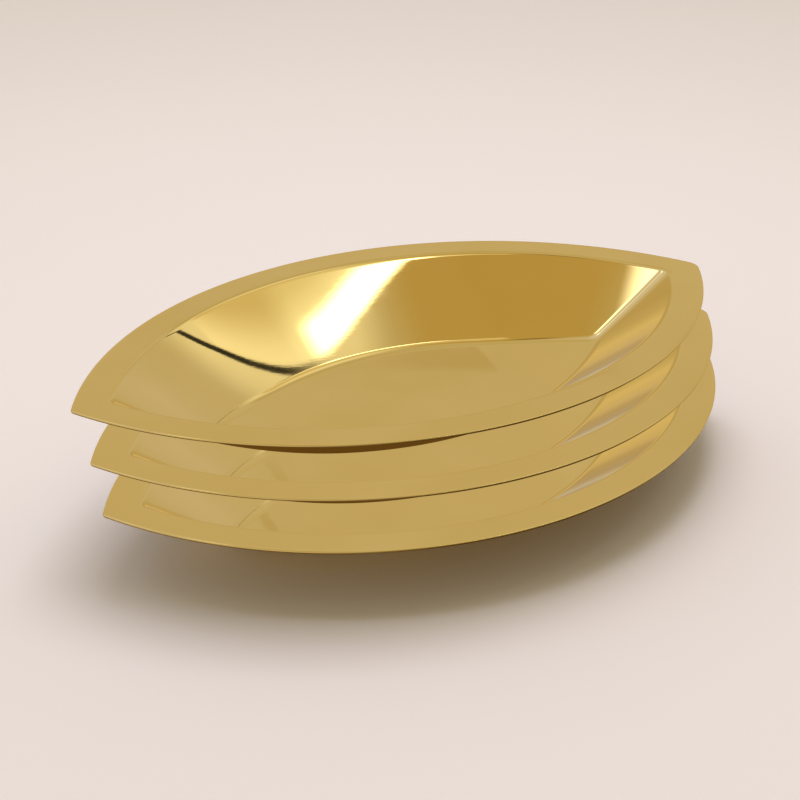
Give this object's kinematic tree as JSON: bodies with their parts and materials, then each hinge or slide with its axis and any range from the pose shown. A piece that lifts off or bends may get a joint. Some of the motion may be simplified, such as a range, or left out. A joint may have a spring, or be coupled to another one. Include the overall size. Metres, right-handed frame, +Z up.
{
  "type": "offering plate stack",
  "caption": "Stack of boat-shaped pressed metal offering plates, each with a flat flange, a sloping wall and a flat floor, that lift off one at a time.",
  "frame": {"origin": "centre of the bottom plate's flat underside, on the surface that the stack stands on", "axes": "+X along the plates from tip to tip, +Y across them, +Z up out of the bowls"},
  "size_m": [0.3062, 0.1874, 0.0772],
  "materials": {
    "polished_brass": "mirror polished, gold colour"
  },
  "bodies": {
    "bottom_plate": {"bottom_plate": "polished_brass"},
    "middle_plate": {"middle_plate": "polished_brass"},
    "top_plate": {"top_plate": "polished_brass"}
  },
  "joints": [
    {"name": "middle_lift", "type": "slide", "parent": "bottom_plate", "child": "middle_plate", "axis": [0, 0, 1], "range_m": [0, 0.12]},
    {"name": "top_lift", "type": "slide", "parent": "middle_plate", "child": "top_plate", "axis": [0, 0, 1], "range_m": [0, 0.12]}
  ]
}
